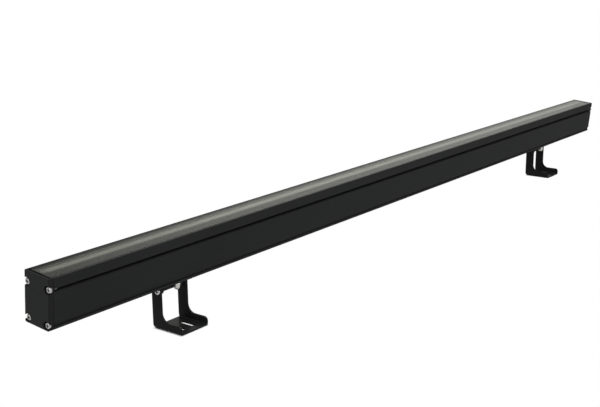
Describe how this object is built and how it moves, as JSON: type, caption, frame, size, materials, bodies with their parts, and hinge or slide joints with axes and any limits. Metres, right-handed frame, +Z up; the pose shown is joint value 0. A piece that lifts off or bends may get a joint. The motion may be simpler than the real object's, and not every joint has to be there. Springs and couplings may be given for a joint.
{
  "type": "outdoor wall washer light",
  "caption": "Slim linear outdoor light: long aluminium body with a glass window on top, sealed end caps with a cable gland, on tilting feet that slide along a slot underneath.",
  "frame": {"origin": "bottom centre of the whole object's box, on the surface the feet stand on", "axes": "+X along the lamp towards the cable gland, +Y towards its back (the front faces -Y), +Z up"},
  "size_m": [1.0164, 0.0384, 0.0854],
  "materials": {
    "housing": "black anodised",
    "cap": "black powder coat",
    "glass": "clear, ground edges",
    "silicone": "matte",
    "baffle": "matte black",
    "lens": "frosted",
    "light_board": "white solder resist",
    "led": "phosphor yellow",
    "pad": "matte",
    "board": "solder resist",
    "parts": "matte",
    "terminal": "matte",
    "wire": "smooth",
    "screw": "stainless",
    "gland": "nylon",
    "clip": "black powder coat",
    "foot": "black powder coat",
    "washer": "nylon"
  },
  "bodies": {
    "lamp": {"housing_profile": "housing", "glass_cover": "glass", "glass_seal": "silicone", "baffle": "baffle", "lens_strip": "lens", "light_board": "light_board", "leds": "led", "thermal_pad": "pad", "driver_board": "board", "driver_parts": "parts", "terminal_block": "terminal", "link_wires": "wire", "end_cap_near": "cap", "end_cap_far": "cap", "end_gasket_near": "silicone", "end_gasket_far": "silicone", "cap_screws_near": "screw", "cap_screws_far": "screw", "gland_body": "gland", "gland_nut": "gland", "gland_seal": "silicone", "gland_washer": "silicone", "gland_locknut": "gland"},
    "clip_near": {"hinge_clip_near": "clip", "slot_bolt_near": "screw", "spring_washer_near": "screw", "dome_nut_near": "screw"},
    "foot_near": {"foot_bracket_near": "foot", "pivot_screw_near": "screw", "pivot_washers_near": "washer"},
    "clip_far": {"hinge_clip_far": "clip", "slot_bolt_far": "screw", "spring_washer_far": "screw", "dome_nut_far": "screw"},
    "foot_far": {"foot_bracket_far": "foot", "pivot_screw_far": "screw", "pivot_washers_far": "washer"}
  },
  "joints": [
    {"name": "clip_slide_near", "type": "slide", "parent": "lamp", "child": "clip_near", "axis": [1, 0, 0], "range_m": [-0.12, 0.32]},
    {"name": "foot_hinge_near", "type": "hinge", "parent": "clip_near", "child": "foot_near", "pos_m": [-0.36625, 0.00617, 0.0342], "axis": [1, 0, 0], "range_deg": [-84.5, 95.5]},
    {"name": "clip_slide_far", "type": "slide", "parent": "lamp", "child": "clip_far", "axis": [1, 0, 0], "range_m": [-0.32, 0.12]},
    {"name": "foot_hinge_far", "type": "hinge", "parent": "clip_far", "child": "foot_far", "pos_m": [0.34975, 0.00617, 0.0342], "axis": [1, 0, 0], "range_deg": [-84.5, 95.5]}
  ]
}
